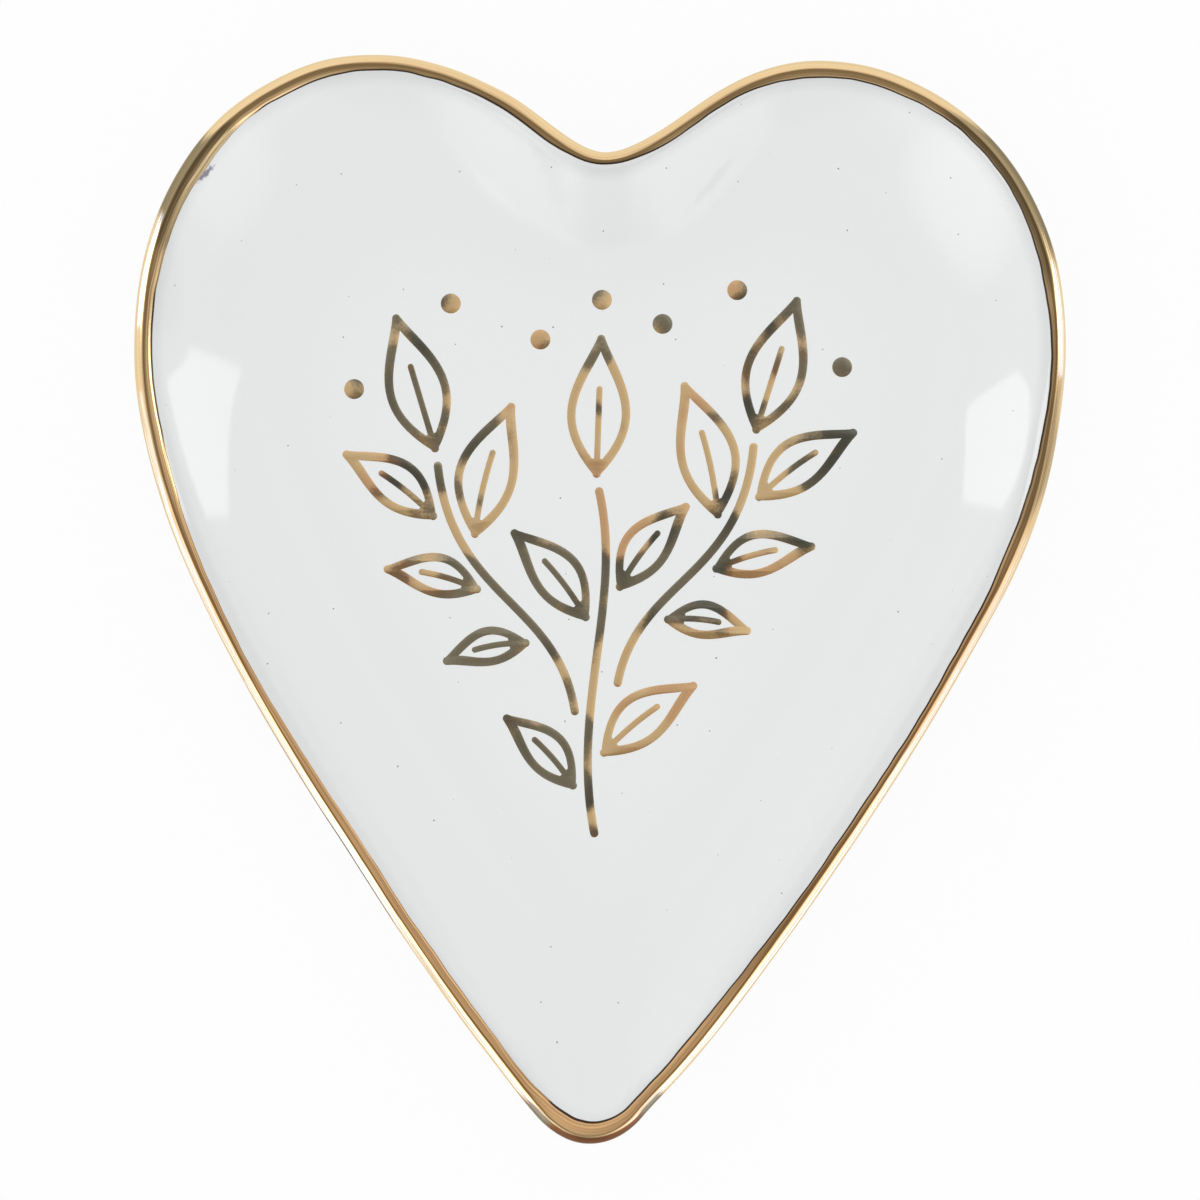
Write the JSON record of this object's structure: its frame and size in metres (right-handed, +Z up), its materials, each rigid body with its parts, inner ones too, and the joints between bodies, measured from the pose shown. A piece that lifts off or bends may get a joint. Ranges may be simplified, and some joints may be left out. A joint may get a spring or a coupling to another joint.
{
  "type": "heart-shaped trinket dish",
  "caption": "Heart-shaped glazed ceramic trinket dish: a shallow open well with sloping walls, a rounded gilt lip, a gilt leaf sprig on its floor and a bare foot ring.",
  "frame": {"origin": "middle of the heart's length and width, on the surface that the foot ring stands on", "axes": "+Z up out of the well; -Y towards the heart's tip and +Y towards its lobes; +X to the right as seen from above with the lobes away from the viewer"},
  "size_m": [0.12, 0.14, 0.017],
  "materials": {
    "white_glaze": "clear gloss glaze over white ceramic",
    "bare_ceramic": "unglazed, matt",
    "gold_lustre": "fired gold lustre, hand painted on the lip and transferred on the floor"
  },
  "bodies": {
    "root": {"ceramic_body": "white_glaze", "foot_ring": "bare_ceramic", "gilt_lip": "gold_lustre", "centre_stem": "gold_lustre", "centre_leaf_1": "gold_lustre", "centre_leaf_2": "gold_lustre", "centre_leaf_3": "gold_lustre", "centre_leaf_4": "gold_lustre", "centre_leaf_5": "gold_lustre", "left_stem": "gold_lustre", "left_leaf_1": "gold_lustre", "left_leaf_2": "gold_lustre", "left_leaf_3": "gold_lustre", "left_leaf_4": "gold_lustre", "left_leaf_5": "gold_lustre", "right_stem": "gold_lustre", "right_leaf_1": "gold_lustre", "right_leaf_2": "gold_lustre", "right_leaf_3": "gold_lustre", "right_leaf_4": "gold_lustre", "right_leaf_5": "gold_lustre", "berry_1": "gold_lustre", "berry_2": "gold_lustre", "berry_3": "gold_lustre", "berry_4": "gold_lustre", "berry_5": "gold_lustre", "berry_6": "gold_lustre", "berry_7": "gold_lustre"}
  },
  "joints": []
}
